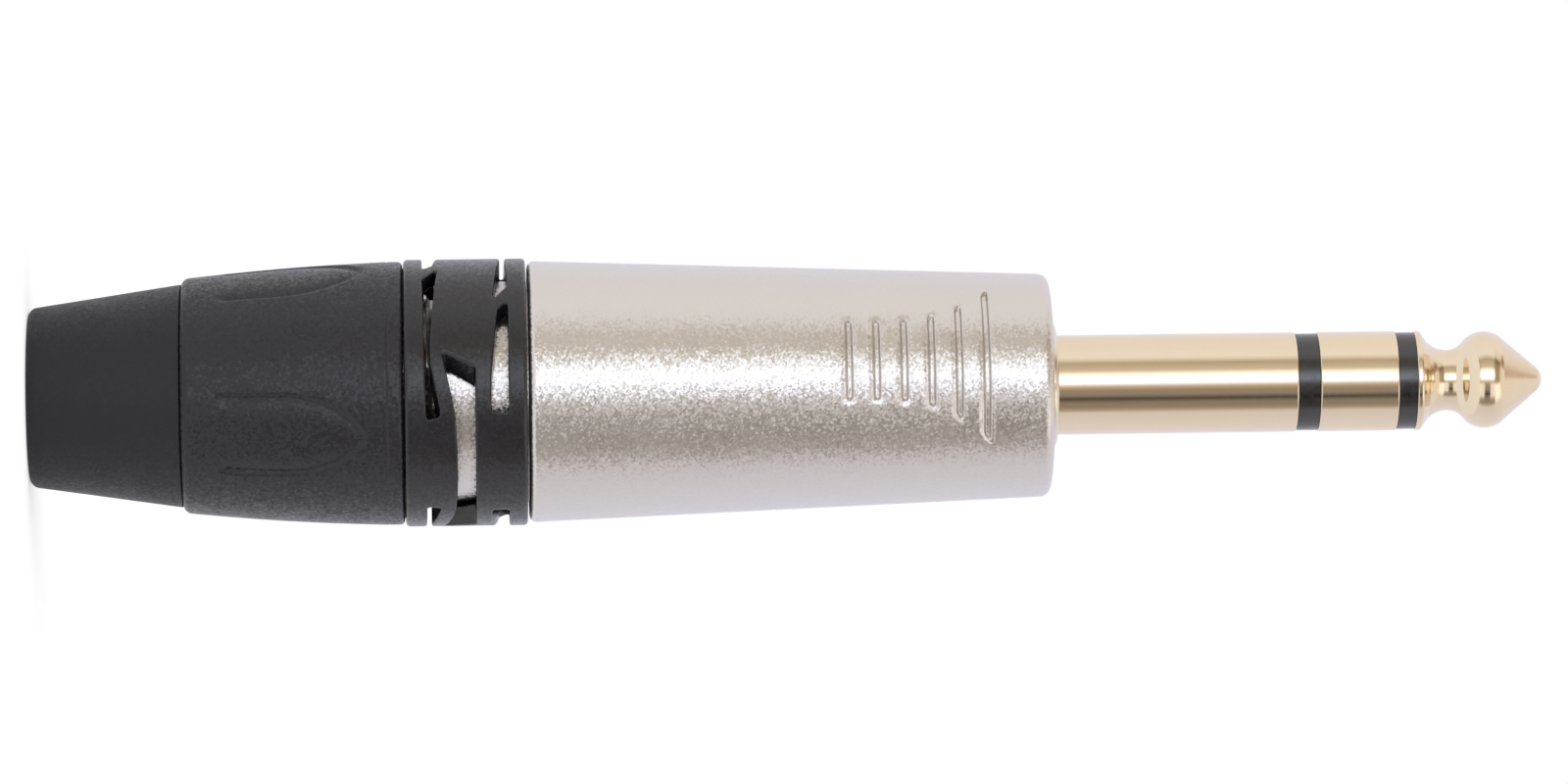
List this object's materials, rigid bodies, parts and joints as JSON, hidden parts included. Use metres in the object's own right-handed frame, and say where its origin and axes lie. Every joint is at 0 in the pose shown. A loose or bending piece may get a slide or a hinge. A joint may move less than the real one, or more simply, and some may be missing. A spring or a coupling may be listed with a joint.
{
  "type": "stereo jack plug",
  "caption": "Straight 6.35 mm stereo jack plug with gold contact pin, satin nickel shell, openwork black collar and screw-on cable boot.",
  "frame": {"origin": "centre of the flat rear end of the cable boot", "axes": "+Z along the plug's axis, from the boot to the nose of the contact pin; -Y through the side that the picture shows"},
  "size_m": [0.017, 0.017, 0.0966],
  "materials": {
    "rubber": "smooth matte black",
    "grained_plastic": "fine-grained black",
    "satin_plastic": "satin black",
    "chuck_plastic": "natural, as moulded",
    "liner_plastic": "thin natural tube",
    "satin_nickel": "satin nickel plating with a fine sparkle",
    "bright_nickel": "bright nickel plating",
    "gold": "polished gold plating on brass",
    "black_insulator": "glossy black",
    "tinned_brass": "tinned",
    "fibre": "vulcanised fibre"
  },
  "bodies": {
    "boot": {"boot_sleeve": "rubber", "boot_nut": "grained_plastic"},
    "chuck": {"cable_chuck": "chuck_plastic"},
    "shell": {"collar_ring": "satin_plastic", "shell_liner": "liner_plastic", "shell_housing": "satin_nickel", "nose_bush": "bright_nickel", "rod_nut": "bright_nickel", "sleeve_contact": "gold", "ring_contact": "gold", "tip_contact": "gold", "ring_insulator": "black_insulator", "tip_insulator": "black_insulator", "ring_liner": "black_insulator", "tip_liner": "black_insulator", "sleeve_tag": "tinned_brass", "ring_tag": "tinned_brass", "tip_tag": "tinned_brass", "sleeve_washer": "fibre", "ring_washer": "fibre"}
  },
  "joints": [
    {"name": "boot_turn", "type": "hinge", "parent": "boot", "child": "chuck", "pos_m": [0, 0, 0.0237], "axis": [0, 0, 1], "range_deg": [0, 1990]},
    {"name": "boot_travel", "type": "slide", "parent": "chuck", "child": "shell", "axis": [0, 0, 1], "range_m": [0, 0.0055]}
  ],
  "couplings": [
    {"joint": "boot_turn", "follows": "boot_travel", "rad_per_m": 6283.2}
  ]
}
